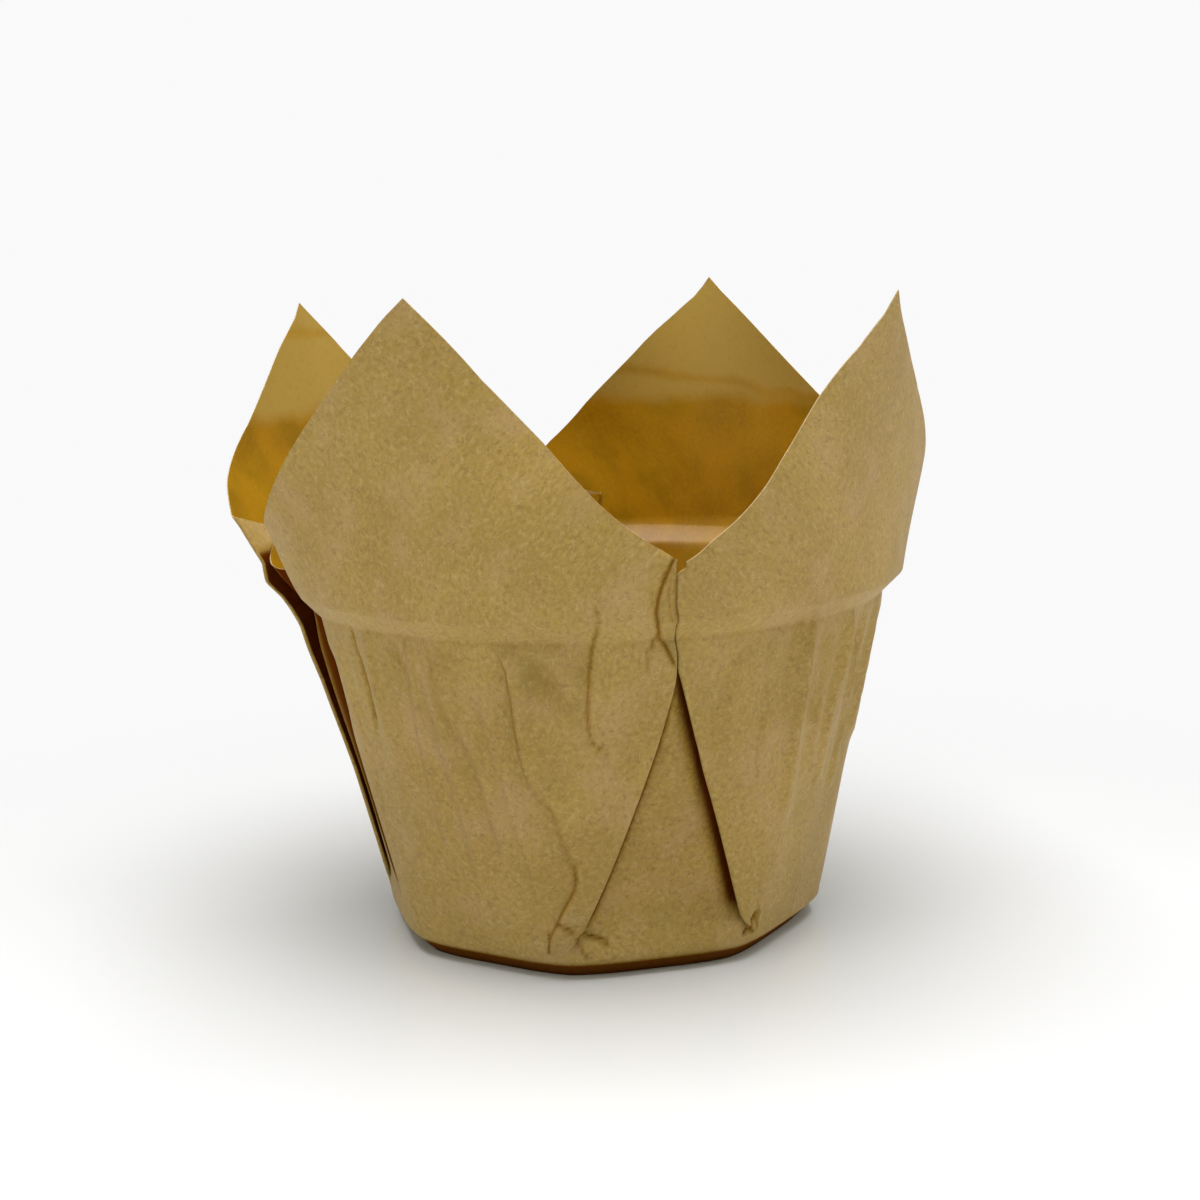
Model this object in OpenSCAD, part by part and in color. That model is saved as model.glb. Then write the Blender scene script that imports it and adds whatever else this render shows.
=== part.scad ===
// Tulip baking cup: one square sheet of greaseproof paper pressed over a round die.
// The sheet's corners stand up as four petals, and its sides fold into four box pleats.
// Lengths are millimetres. The cup rests on z = 0 and a pleat faces -Y.

/* [Sheet] */
// Side of the square sheet before it is pressed
sheet_side = 140; // [134:0.5:150]
// Thickness of the paper
paper_t = 0.12; // [0.08:0.01:0.16]

/* [Pressed base and wall] */
// Width of the base across the corners of its crease
base_d = 50.8; // [47:0.2:54]
// Width of the slope between the flat underside and the crease
chamfer_w = 2.3; // [1:0.1:3.5]
// Height of the crease above the table
crease_z = 2.2; // [1:0.1:4]
// Diameter at the top of the pressed wall
wall_d = 66.2; // [61:0.2:71]
// Height of the top of the pressed wall
wall_h = 38.6; // [34:0.2:42]
// Rise and reach of the ledge that the die's shoulder leaves
ledge = 2.2; // [1:0.1:3]
// How far the base's outline goes from a circle to an octagon
octagon_share = 0.6; // [0:0.05:1]
// Depth of the soft flutes in the wall
flute_depth = 0.22; // [0:0.02:0.4]
// Number of flutes around the wall
flute_count = 24; // [16:4:32]
// Share of the paper's width that fine crimping takes up at the ledge
crimp_share = 0.27; // [0:0.01:0.3]

/* [Box pleats] */
// Height at which the two folds of a pleat meet
apex_h = 35.4; // [28:0.2:37]
// Distance between the layers of a pleat
layer_pitch = 0.36; // [0.3:0.02:0.6]
// Half of the gap between two folds that lie closed
seam_gap = 0.2; // [0.15:0.05:0.5]
// Half of the left pleat's width where it leaves the base
left_foot = 2; // [1:0.1:9]
// Half of the gap that opens in the left pleat up to the ledge
left_gape = 2.8; // [0.5:0.1:4]
// How far the left pleat's rear flap springs out
left_lift = 1; // [0:0.1:2]
// How far the left pleat's front flap is tucked in above the wall
left_tuck = 3.5; // [0:0.1:4.5]

/* [Lean of the paper outward above the ledge, in degrees] */
// At the front pleat
lean_front = 28; // [0:1:45]
// At the front right petal
lean_front_right = 0; // [-5:1:30]
// At the right pleat
lean_right = 18; // [0:1:45]
// At the back right petal
lean_back_right = 4; // [-5:1:30]
// At the back pleat
lean_back = 8; // [0:1:45]
// At the back left petal
lean_back_left = 20; // [-5:1:30]
// At the left pleat
lean_left = 40; // [0:1:45]
// At the front left petal
lean_front_left = 3; // [-5:1:30]

/* [Turn of the paper back inward over a petal's height, in degrees] */
// At the front pleat
curl_front = 86; // [-30:1:90]
// At the front right petal
curl_front_right = -22; // [-30:1:60]
// At the right pleat
curl_right = 37; // [-30:1:90]
// At the back right petal
curl_back_right = -13; // [-30:1:60]
// At the back pleat
curl_back = 62; // [-30:1:90]
// At the back left petal
curl_back_left = -3; // [-30:1:60]
// At the left pleat
curl_left = 37; // [-30:1:90]
// At the front left petal
curl_front_left = -3; // [-30:1:60]

/* [Petals] */
// Sideways sway of the front right petal's tip, counterclockwise from above
sway_front_right = -8; // [-10:0.5:10]
// Sideways sway of the back right petal's tip
sway_back_right = 6; // [-10:0.5:10]
// Sideways sway of the back left petal's tip
sway_back_left = -8; // [-10:0.5:10]
// Sideways sway of the front left petal's tip
sway_front_left = 2.3; // [-10:0.1:10]
// Flattening of the front right petal across, from 0 for round to 1 for flat
flat_front_right = 0.42; // [-0.5:0.02:0.8]
// Flattening of the back right petal across
flat_back_right = 0.3; // [-0.5:0.02:0.8]
// Flattening of the back left petal across
flat_back_left = 0.59; // [-0.5:0.01:0.8]
// Flattening of the front left petal across, below 0 for rounder than the cup
flat_front_left = -0.44; // [-0.5:0.02:0.8]
// Height over which a petal takes its flattening
flat_rise = 20; // [10:1:30]

/* [Hidden] */

PI_4 = PI / 4;
DEG = 180 / PI;

// Directions count from -Y toward +X. Leans and turns stand every 45 degrees.
leans = [lean_front, lean_front_right, lean_right, lean_back_right,
    lean_back, lean_back_left, lean_left, lean_front_left];
curls = [curl_front, curl_front_right, curl_right, curl_back_right,
    curl_back, curl_back_left, curl_left, curl_front_left];

// Petals: front right, back right, back left, front left
petal_dirs = [45, 135, 225, 315];
flats = [flat_front_right, flat_back_right, flat_back_left, flat_front_left];
sways = [sway_front_right, sway_back_right, sway_back_left, sway_front_left];

// Pleats: front, right, back, left
pleat_dirs = [0, 90, 180, 270];

base_r = base_d / 2;
contact_r = base_r - chamfer_w;
wall_r = wall_d / 2;
rim_r = wall_r + ledge;
rim_z = wall_h + ledge;

// Distances from the sheet's centre, measured along the paper
s_contact = contact_r;
s_crease = s_contact + norm([chamfer_w, crease_z]);
s_wall = s_crease + norm([wall_r - base_r, wall_h - crease_z]);
s_rim = s_wall + ledge * sqrt(2);
s_tip = sheet_side / sqrt(2);
petal_len = s_tip - s_rim;

// A pleat's folds start at the octagon's corners and close at the apex
foot = base_r * sin(22.5);
feet = [foot, foot, foot, left_foot];
gapes = [0, 0, 0, left_gape];
apex_t = (min(apex_h, wall_h - 1) - crease_z) / (wall_h - crease_z);
s_apex = s_crease + (s_wall - s_crease) * apex_t;
// Paper taken up by a fold where it begins
fold_min = 0.5;
// Distance above the crease within which a fold closes flat
fold_rise = 4;
// Distance above the wall within which the left pleat's tuck grows
tuck_rise = 12;

// Columns of the half pleat: centre panel, inner turn, middle layer, outer turn
centre_cols = 3;
outer_turn = centre_cols + 4;
// Columns from the outer turn to the middle of the petal
panel_cols = 12;
half_cols = outer_turn + 2 + panel_cols;

// Rows of the wall as shares of its height, and of the petal as shares of its length
wall_rows = [0.25, 0.5, 0.75, 0.93];
petal_rows = [0.1, 0.26, 0.46, 0.72, 1];

function mix(a, b, t) = a + (b - a) * t;
function smooth(t) = let (c = max(0, min(1, t))) c * c * (3 - 2 * c);
function unit(v) = v / max(norm(v), 1e-9);
function wrap(a) = a - 360 * round(a / 360);
function sum(v, i = 0) = i < len(v) ? v[i] + sum(v, i + 1) : 0;

// A value at a direction, from values that stand at even steps around the cup
function around(values, dir, first, step) =
    sum([for (k = [0:len(values) - 1])
        let (off = wrap(dir - first - k * step))
        abs(off) < step ? values[k] * pow(cos(off * 90 / step), 2) : 0]);

// Sideways sway of the petals' tips at a direction, as a level vector
function sway(dir) =
    [around([for (k = [0:3]) sways[k] * cos(petal_dirs[k])], dir, 45, 90),
     around([for (k = [0:3]) sways[k] * sin(petal_dirs[k])], dir, 45, 90)];

// Radius of the base's outline, as a share of its corner radius
function octagon(dir) =
    let (off = dir - 45 * round(dir / 45))
    mix(1, cos(22.5) / cos(off), octagon_share);

function flute(t, dir) = flute_depth * smooth(t * 1.4) * smooth((1 - t) * 6) * cos(dir * flute_count);

// Paper held in the crimps for each unit of arc, most at the ledge
function crimp(s) = s < s_rim
    ? 1 + crimp_share * smooth((s - s_crease) / (s_rim - s_crease))
    : 1 + crimp_share * mix(1, 0.3, smooth((s - s_rim) / 20));

// Radius and height of a petal's middle line at a distance above the ledge
function petal_line(u, dir) =
    let (lean = around(leans, dir, 0, 45))
    let (turn = around(curls, dir, 0, 45))
    let (rate = (abs(turn) < 0.1 ? 0.1 : turn) / petal_len)
    [rim_r + (cos(lean - rate * u) - cos(lean)) * DEG / rate,
     rim_z + (sin(lean) - sin(lean - rate * u)) * DEG / rate];

// Radius, height, and arc from the petal's middle, of the pressed surface
function pressed(s, dir) =
    let (off = abs(dir - 45 - 90 * round((dir - 45) / 90)))
    let (shape = octagon(dir))
    s <= s_contact ? [s * shape, 0, s * off / DEG]
    : s <= s_crease ?
        let (t = (s - s_contact) / (s_crease - s_contact))
        let (r = mix(contact_r, base_r, t) * shape)
        [r, crease_z * t, r * off / DEG]
    : s <= s_wall ?
        let (t = (s - s_crease) / (s_wall - s_crease))
        let (r = mix(base_r * shape, wall_r, t))
        [r + flute(t, dir), mix(crease_z, wall_h, t), r * off / DEG]
    : s <= s_rim ?
        let (t = (s - s_wall) / (s_rim - s_wall))
        let (r = mix(wall_r, rim_r, t))
        [r, mix(wall_h, rim_z, t), r * off / DEG]
    :
        let (u = s - s_rim)
        let (line = petal_line(u, dir))
        let (flat = around(flats, dir, 45, 90))
        let (bend = (1 - flat * smooth(u / flat_rise)) / line[0])
        let (back = line[0] - 1 / bend)
        let (r = back * cos(off) + sqrt(1 / (bend * bend) - pow(back * sin(off), 2)))
        [r, line[1], asin(min(1, r * sin(off) * bend)) / DEG / bend];

// Half of the gap between a pleat's two folds
function half_gap(s, k) =
    s < s_crease ? feet[k] * s / s_crease
    : let (open = gapes[k] * smooth((s - s_crease) / (s_rim - s_crease)))
      max(seam_gap, open, feet[k] * (s_apex - s) / (s_apex - s_crease));

// Offset along the wall, offset inward, and arc along the paper from the pleat's
// middle, of one column at distance s. k is the pleat and side is -1 or 1.
function column(i, s, k, side) =
    let (near = min(1, s / s_contact))
    let (rho = layer_pitch / 2 * near)
    let (gap = half_gap(s, k))
    let (wall = pressed(s, pleat_dirs[k])[0])
    let (edge_dir = (gap + rho) / wall * DEG)
    let (panel_arc = crimp(s) * pressed(s, pleat_dirs[k] + side * edge_dir)[2])
    let (spare = (PI_4 * s - panel_arc - gap + 3 * rho - 2 * PI * rho) / 2)
    let (deep = max(spare, fold_min * near))
    let (flat_end = gap + deep - rho)
    let (turn_len = PI * rho)
    let (back_len = deep - 2 * rho)
    let (fold_end = flat_end + 2 * turn_len + back_len)
    // Share of the turns of the two folds at this column
    let (q = (i - outer_turn - 2) / panel_cols)
    let (arc =
        i <= centre_cols ? flat_end * i / centre_cols
        : i == centre_cols + 1 ? flat_end + turn_len / 2
        : i == centre_cols + 2 ? flat_end + turn_len
        : i == centre_cols + 3 ? flat_end + turn_len + back_len / 2
        : i == outer_turn ? flat_end + turn_len + back_len
        : i == outer_turn + 1 ? fold_end - turn_len / 2
        : mix(fold_end, PI_4 * s, q))
    let (x =
        i <= centre_cols ? arc
        : i == centre_cols + 1 ? flat_end + rho
        : i == centre_cols + 2 ? flat_end
        : i == centre_cols + 3 ? mix(flat_end, gap + rho, 0.5)
        : i == outer_turn ? gap + rho
        : i == outer_turn + 1 ? gap
        : wall * mix(edge_dir, 45, q) / DEG)
    let (sunk =
        i <= centre_cols ? 2
        : i == centre_cols + 1 ? 1.5
        : i <= outer_turn ? 1
        : i == outer_turn + 1 ? 0.5
        : 0)
    [x, sunk, arc, q, wall];

// How far the left pleat's rear flap springs out, or its front folds tuck in
function lift(i, s, k, side, q) =
    let (fade = pow(1 - max(q, 0), 3))
    k != 3 ? 0
    : side < 0 ? (i < outer_turn ? 0
        : left_lift * smooth((s - s_crease) / (s_rim - s_crease)) * fade)
    : -left_tuck * smooth((s - s_wall) / tuck_rise) * min(1, i / centre_cols) * fade;

// A point of the sheet's middle layer
function point(i, s, k, side) =
    let (c = column(i, s, k, side))
    let (w = smooth((s - s_crease) / fold_rise))
    let (off = mix(c[2] / s, c[0] / c[4], w) * DEG)
    let (dir = pleat_dirs[k] + side * off)
    let (face = pressed(s, dir))
    let (r = face[0] - c[1] * layer_pitch * w + lift(i, s, k, side, c[3]))
    let (shift = sway(dir) * pow(max(0, s - s_rim) / petal_len, 1.5))
    [r * sin(dir) + shift[0], -r * cos(dir) + shift[1], face[1] + paper_t / 2];

// Distance along the paper at which a column meets the sheet's cut edge
function cut(i, k, side, lo, hi, n) =
    let (m = (lo + hi) / 2)
    n == 0 ? m
    : m * cos(column(i, m, k, side)[2] / m * DEG) < sheet_side / 2 ?
        cut(i, k, side, m, hi, n - 1)
    : cut(i, k, side, lo, m, n - 1);

// The rows of one column, from the base's edge to the cut edge
function rows(top) =
    let (rim = min(s_rim, top - 0.6))
    let (squeeze = (rim - s_crease) / (s_rim - s_crease))
    concat(
        [s_contact / 2, s_contact, s_crease],
        [for (d = [1.3, 3.6]) s_crease + d],
        [for (t = wall_rows) s_crease + squeeze * mix(0, s_wall - s_crease, t)],
        [s_crease + squeeze * (s_wall - s_crease), rim],
        [for (t = petal_rows) mix(rim, top, t)]
    );

// Columns in order around the cup: each pleat from its left petal to its right one
ring_cols = [for (k = [0:3]) each concat(
    [for (i = [half_cols:-1:1]) [i, k, -1]],
    [for (i = [0:half_cols - 1]) [i, k, 1]])];
grid = [for (c = ring_cols)
    let (top = cut(c[0], c[1], c[2], s_contact, s_tip + 2, 20))
    [for (s = rows(top)) point(c[0], s, c[1], c[2])]];
col_n = len(grid);
row_n = len(grid[0]);

// Outward direction of the paper at a grid point. The base lies level.
function outward(c, r) =
    r < 2 ? [0, 0, -1]
    : let (p = grid[c][r])
      let (left = grid[(c + col_n - 1) % col_n][r])
      let (right = grid[(c + 1) % col_n][r])
      let (along = unit(unit(right - p) + unit(p - left)))
      let (up = r == row_n - 1 ? unit(p - grid[c][r - 1])
          : unit(unit(grid[c][r + 1] - p) + unit(p - grid[c][r - 1])))
      unit(cross(along, up));

function skin(offset) = [for (c = [0:col_n - 1]) for (r = [0:row_n - 1])
    grid[c][r] + offset * outward(c, r)];

// The folded sheet as one closed solid
module folded_sheet() {
    skin_n = col_n * row_n;
    poles = 2 * skin_n;
    pts = concat(skin(paper_t / 2), skin(-paper_t / 2), [[0, 0, 0], [0, 0, paper_t]]);
    function id(c, r) = (c % col_n) * row_n + r;
    outer = [for (c = [0:col_n - 1]) for (r = [0:row_n - 2]) each [
        [id(c, r), id(c, r + 1), id(c + 1, r + 1)],
        [id(c, r), id(c + 1, r + 1), id(c + 1, r)]]];
    inner = [for (f = outer) [f[2] + skin_n, f[1] + skin_n, f[0] + skin_n]];
    edge = [for (c = [0:col_n - 1])
        let (a = id(c, row_n - 1))
        let (b = id(c + 1, row_n - 1))
        each [[a, a + skin_n, b + skin_n], [a, b + skin_n, b]]];
    base = [for (c = [0:col_n - 1]) each [
        [poles, id(c, 0), id(c + 1, 0)],
        [poles + 1, id(c + 1, 0) + skin_n, id(c, 0) + skin_n]]];
    polyhedron(points = pts, faces = concat(outer, inner, edge, base), convexity = 8);
}

module liner() {
    color([0.62, 0.53, 0.32]) folded_sheet();
}

liner();
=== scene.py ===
"""Tulip baking cup of brown greaseproof paper.

One square sheet is folded over a round die in code, gets its wrinkles and its thickness,
and is dressed as kraft paper outside and glazed paper inside, on a white floor in a
white studio. The rest of the file is lamps and the camera.
"""

import logging
import math
from dataclasses import dataclass, field, replace
from enum import Enum

import bpy
import numpy as np
from mathutils import Matrix, Vector


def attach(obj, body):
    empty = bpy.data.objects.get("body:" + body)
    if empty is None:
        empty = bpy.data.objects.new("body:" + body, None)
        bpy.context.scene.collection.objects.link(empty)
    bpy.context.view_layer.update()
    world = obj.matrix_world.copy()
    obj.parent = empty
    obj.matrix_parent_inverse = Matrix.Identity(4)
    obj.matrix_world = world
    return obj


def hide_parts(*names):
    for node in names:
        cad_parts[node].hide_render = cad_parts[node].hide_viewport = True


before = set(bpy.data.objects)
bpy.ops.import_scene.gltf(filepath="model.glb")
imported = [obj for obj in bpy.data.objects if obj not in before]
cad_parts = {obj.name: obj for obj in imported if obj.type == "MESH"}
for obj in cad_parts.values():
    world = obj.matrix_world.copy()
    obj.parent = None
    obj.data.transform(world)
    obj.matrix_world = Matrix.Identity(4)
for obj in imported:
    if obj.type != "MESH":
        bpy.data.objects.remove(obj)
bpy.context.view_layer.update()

LOG = logging.getLogger("baking_cup")
MM = 0.001
SHEET_SIDE = 140.0
FULL_TURN = 360.0
QUARTER = 90.0
EIGHTH = 45.0
HALF_PLEAT = math.pi / 4  # Radians of the flat sheet that a half pleat takes. Those above are degrees.
TINY = 1e-6
Array = np.ndarray
Pair = tuple[float, float]
Triple = tuple[float, float, float]
Points = tuple[Pair, ...]
Colour = Triple
Socket = bpy.types.NodeSocket
Outputs = bpy.types.bpy_prop_collection


class Pleat(Enum):
    """The four box pleats, by the direction that each faces, counted from -Y toward +X."""

    FRONT = 0
    RIGHT = 90
    BACK = 180
    LEFT = 270


class Petal(Enum):
    """The four petals, by direction."""

    FRONT_RIGHT = 45
    BACK_RIGHT = 135
    BACK_LEFT = 225
    FRONT_LEFT = 315


class Zone(Enum):
    """The strips of a half pleat, from its middle to the middle of the petal."""

    CENTRE = 0
    INNER_TURN = 1
    MIDDLE = 2
    OUTER_TURN = 3
    PANEL = 4


class Layer(Enum):
    """Which layers of the paper a wrinkle shapes."""

    ALL = 0
    FLAP = 1
    CENTRE = 2


class Section(Enum):
    """How the paper's level changes across a wrinkle."""

    SOFT = 0
    SHARP = 1


def mix(a: Array | float, b: Array | float, t: Array | float) -> Array | float:
    """Straight blend from a to b."""
    return a + (b - a) * t


def smooth(t: Array | float) -> Array:
    """Soft step from 0 to 1."""
    c = np.clip(t, 0.0, 1.0)
    return c * c * (3.0 - 2.0 * c)


def wrap(angle: Array) -> Array:
    """Angle in degrees, brought between -180 and 180."""
    return angle - FULL_TURN * np.round(angle / FULL_TURN)


def around(values: list[float], direction: Array, first: float, step: float) -> Array:
    """Value at a direction, from values that stand at even steps around the cup.

    Args:
        values: One value for each step.
        direction: Directions in degrees.
        first: Direction of the first value.
        step: Degrees between two values.

    Returns:
        The blended value at each direction.
    """
    total = np.zeros_like(direction)
    for k, value in enumerate(values):
        off = wrap(direction - first - k * step)
        share = np.cos(np.radians(off * QUARTER / step)) ** 2
        total = total + np.where(np.abs(off) < step, value * share, 0.0)
    return total


@dataclass(frozen=True)
class Die:
    """The round die that the sheet is pressed over. Millimetres."""

    base_d: float = 50.8
    chamfer_w: float = 2.3
    crease_z: float = 2.2
    wall_d: float = 66.2
    wall_h: float = 38.6
    ledge: float = 2.2
    octagon_share: float = 0.6
    corner_round: float = 0.5
    flute_depth: float = 0.22
    flute_count: int = 24
    flute_fades: Pair = (1.4, 6.0)

    @property
    def base_r(self) -> float:
        """Radius at the corners of the base's crease."""
        return self.base_d / 2

    @property
    def contact_r(self) -> float:
        """Radius of the flat underside at its corners."""
        return self.base_r - self.chamfer_w

    @property
    def wall_r(self) -> float:
        """Radius at the top of the pressed wall."""
        return self.wall_d / 2

    @property
    def rim_r(self) -> float:
        """Radius at the top of the ledge."""
        return self.wall_r + self.ledge

    @property
    def rim_z(self) -> float:
        """Height of the top of the ledge."""
        return self.wall_h + self.ledge

    @property
    def s_contact(self) -> float:
        """Distance along the paper to the edge of the flat underside."""
        return self.contact_r

    @property
    def s_crease(self) -> float:
        """Distance along the paper to the base's crease."""
        return self.s_contact + math.hypot(self.chamfer_w, self.crease_z)

    @property
    def s_wall(self) -> float:
        """Distance along the paper to the top of the wall."""
        return self.s_crease + math.hypot(self.wall_r - self.base_r, self.wall_h - self.crease_z)

    @property
    def s_rim(self) -> float:
        """Distance along the paper to the top of the ledge."""
        return self.s_wall + self.ledge * math.sqrt(2)

    def octagon(self, direction: Array) -> Array:
        """Radius of the base's outline, as a share of its corner radius."""
        off = direction - EIGHTH * np.round(direction / EIGHTH)
        flat = math.cos(math.radians(EIGHTH / 2))
        sharp = flat / np.cos(np.radians(off))
        soft = 1 - (1 - flat) * (1 + np.cos(np.radians(8 * direction))) / 2
        return mix(1.0, mix(sharp, soft, self.corner_round), self.octagon_share)

    def flute(self, t: Array, direction: Array) -> Array:
        """Even soft flutes of the wall, outward."""
        wave = np.cos(np.radians(direction * self.flute_count))
        foot, top = self.flute_fades
        return self.flute_depth * smooth(t * foot) * smooth((1 - t) * top) * wave


@dataclass(frozen=True)
class PetalShape:
    """How the paper above the ledge leans, curls, flattens and sways. Degrees and millimetres.

    Leans and curls start at the front pleat and stand an eighth of a turn apart. Flats and
    sways belong to the four petals.
    """

    leans: tuple[float, ...] = (28, 0, 20, 4, 8, 20, 40, 3)
    curls: tuple[float, ...] = (86, -22, 37, -13, 62, -3, 37, -3)
    curl_least: float = 0.1
    flats: tuple[float, ...] = (0.42, 0.3, 0.59, -0.44)
    sways: tuple[float, ...] = (-8.6, 6, -7.4, 2.3)
    flat_rise: float = 20.0
    sway_power: float = 1.5

    def sway(self, direction: Array) -> tuple[Array, Array]:
        """Sideways shift of the tips, as level x and y."""
        turns = [math.radians(p.value) for p in Petal]
        along = [s * math.cos(a) for s, a in zip(self.sways, turns)]
        across = [s * math.sin(a) for s, a in zip(self.sways, turns)]
        return tuple(around(way, direction, EIGHTH, QUARTER) for way in (along, across))


@dataclass(frozen=True)
class BoxPleat:
    """Sizes of one box pleat and of the half petals beside it. Millimetres.

    A pair holds the left and the right side. cols holds how many columns the half centre,
    the left petal and the right petal have. The widening of a half petal, the shift of
    the seam to the right and the lift of the left flap are given as pairs of distance
    along the paper and width. The shade's reach, peak and power say how the painted shade
    of the gap falls off from each fold's edge.
    """

    side: Pleat
    cols: tuple[int, int, int]
    feet: Pair
    widens: tuple[Points, Points]
    bows: Pair = (1.0, 1.0)
    seam_shift: Points = ((0, 0), (100, 0))
    rear_lift: Points = ((0, 0), (100, 0))
    front_tuck: float = 0.0
    shade_reach: Pair = (0.5, 0.5)
    shade_peak: float = 0.72
    shade_power: float = 2.0

    @staticmethod
    def pick(pair: tuple, side: int) -> float | Points:
        """The left or the right value of a pair."""
        return pair[0] if side < 0 else pair[1]


@dataclass(frozen=True)
class Wrinkle:
    """A crease or soft fold pressed into the standing paper.

    path runs downward as direction in degrees and height in millimetres. The level
    changes by rise, outward, and falls off over left and right widths. line holds how
    much painted shade darkens the crease, how wide it is, and whether it lies left (-1),
    mid (0) or right (1).
    """

    path: Points
    rise: float
    left: float
    right: float
    layer: Layer = Layer.FLAP
    section: Section = Section.SOFT
    fade: float = 2.5
    half: tuple[Pleat, int] | None = None
    line: Triple = (0.0, 0.3, 0.0)

    def level(self, x: Array, z: Array, reach_r: float) -> tuple[Array, Array]:
        """Outward offset and painted crease shade that the wrinkle gives at wall points.

        Args:
            x: Distance around the wall.
            z: Height.
            reach_r: Radius that turns a direction into a distance around the wall.

        Returns:
            Offset outward at each point, and the share of painted shade in its line.
        """
        points = np.array([(math.radians(d) * reach_r, h) for d, h in self.path])
        near = np.full(x.shape, np.inf)
        side = np.zeros(x.shape)
        along = np.zeros(x.shape)
        run = 0.0
        for a, b in zip(points[:-1], points[1:]):
            step = b - a
            length = float(np.hypot(*step))
            t = np.clip(((x - a[0]) * step[0] + (z - a[1]) * step[1]) / length**2, 0, 1)
            dx, dz = x - (a[0] + t * step[0]), z - (a[1] + t * step[1])
            gap = np.hypot(dx, dz)
            nearer = gap < near
            near = np.where(nearer, gap, near)
            side = np.where(nearer, np.sign(step[0] * dz - step[1] * dx), side)
            along = np.where(nearer, run + t * length, along)
            run += length
        width = np.where(side > 0, self.right, self.left)
        sharp = self.section is Section.SHARP
        shape = np.exp(-near / width) if sharp else np.exp(-((near / width) ** 2))
        ends = smooth(along / self.fade) * smooth((run - along) / self.fade)
        share, line_w, foot = self.line
        # Painted shade along the crease.
        dark = share * np.exp(-(((side * near - foot * line_w) / line_w) ** 2)) * ends
        return self.rise * shape * ends, dark


@dataclass(frozen=True)
class Crimping:
    """Fine upright crimps under the ledge, where the die gathers the paper."""

    count: int = 150
    seed: int = 7
    depth: float = 0.3
    width: Pair = (0.45, 1.2)
    length: Pair = (7.0, 28.0)
    top: Pair = (35.5, 40.5)
    slant: float = 0.05
    shares: Pair = (0.35, 1.0)
    fades: Pair = (5.0, 1.6)

    def level(self, direction: Array, z: Array, reach_r: float) -> Array:
        """Outward offset of all crimps at wall points."""
        rng = np.random.default_rng(self.seed)
        total = np.zeros(direction.shape)
        for _ in range(self.count):
            centre = rng.uniform(-FULL_TURN / 2, FULL_TURN / 2)
            width = rng.uniform(*self.width)
            length = rng.uniform(*self.length)
            top = rng.uniform(*self.top)
            slant = rng.normal(0, self.slant)
            depth = self.depth * rng.choice([-1.0, 1.0]) * rng.uniform(*self.shares)
            x = np.radians(wrap(direction - centre)) * reach_r - (top - z) * slant
            down = (top - z) / length
            shape = smooth(down * self.fades[0]) * smooth((1 - down) * self.fades[1])
            total = total + depth * np.exp(-((x / width) ** 2)) * shape
        return total


@dataclass(frozen=True)
class Shading:
    """Painted shade: the dark of the pleats' gaps, the ledge's line and the underside's rim.

    Shares are 0 to 1 and the rest is millimetres. A pair named after a strip holds where
    it starts or ends and how far it fades.
    """

    centre: float = 0.15
    fold_line: float = 0.25
    foot: Pair = (2.0, 4.0)
    hidden_top: Pair = (5.0, 2.0)
    ledge: float = 0.2
    ledge_low: float = 0.2
    ledge_wander: float = 0.25
    ledge_h: float = 0.4
    ledge_patches: Pair = (0.5, 0.9)
    ledge_waves: Points = ((7, 0.4), (13, 2.1), (23, 4.0), (37, 1.3), (61, 5.2))
    under: float = 0.84
    under_top: Pair = (0.1, 0.35)
    under_foot: float = 1.2


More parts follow.
